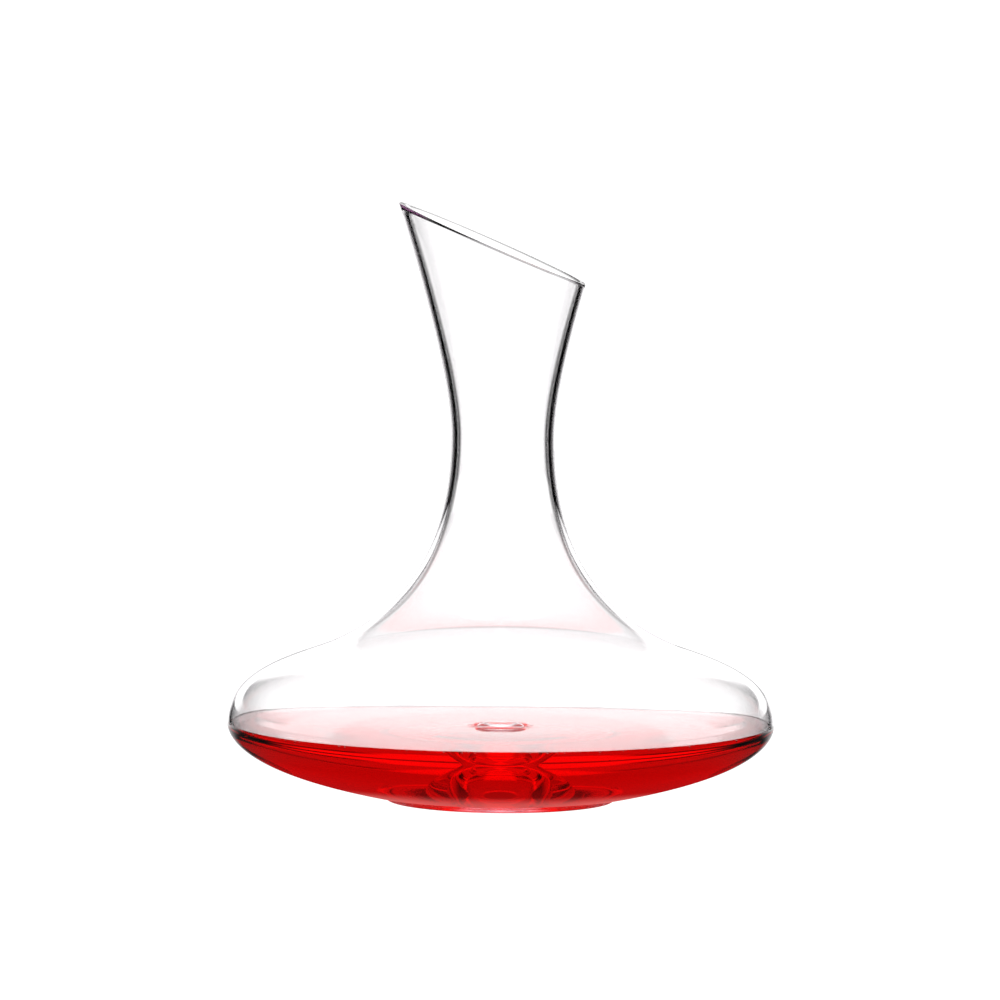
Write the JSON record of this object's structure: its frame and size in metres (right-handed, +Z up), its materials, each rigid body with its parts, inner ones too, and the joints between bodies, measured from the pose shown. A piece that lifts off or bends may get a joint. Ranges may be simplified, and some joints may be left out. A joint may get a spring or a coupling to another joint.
{
  "type": "wine decanter",
  "caption": "Blown-glass wine decanter with a wide low bowl, a slim flared neck, a slanted mouth and a pushed-up punt, filled with red wine to its widest line.",
  "frame": {"origin": "centre of the foot ring, on the plane that the decanter stands on", "axes": "+Z up along the axis of the bowl and neck, +X towards the low side of the slanted mouth, -X towards its high pouring lip, -Y towards the viewer"},
  "size_m": [0.226, 0.226, 0.2468],
  "materials": {
    "clear_glass": "polished",
    "red_wine": "gloss"
  },
  "bodies": {
    "root": {"glass_vessel": "clear_glass", "wine_fill": "red_wine"}
  },
  "joints": []
}
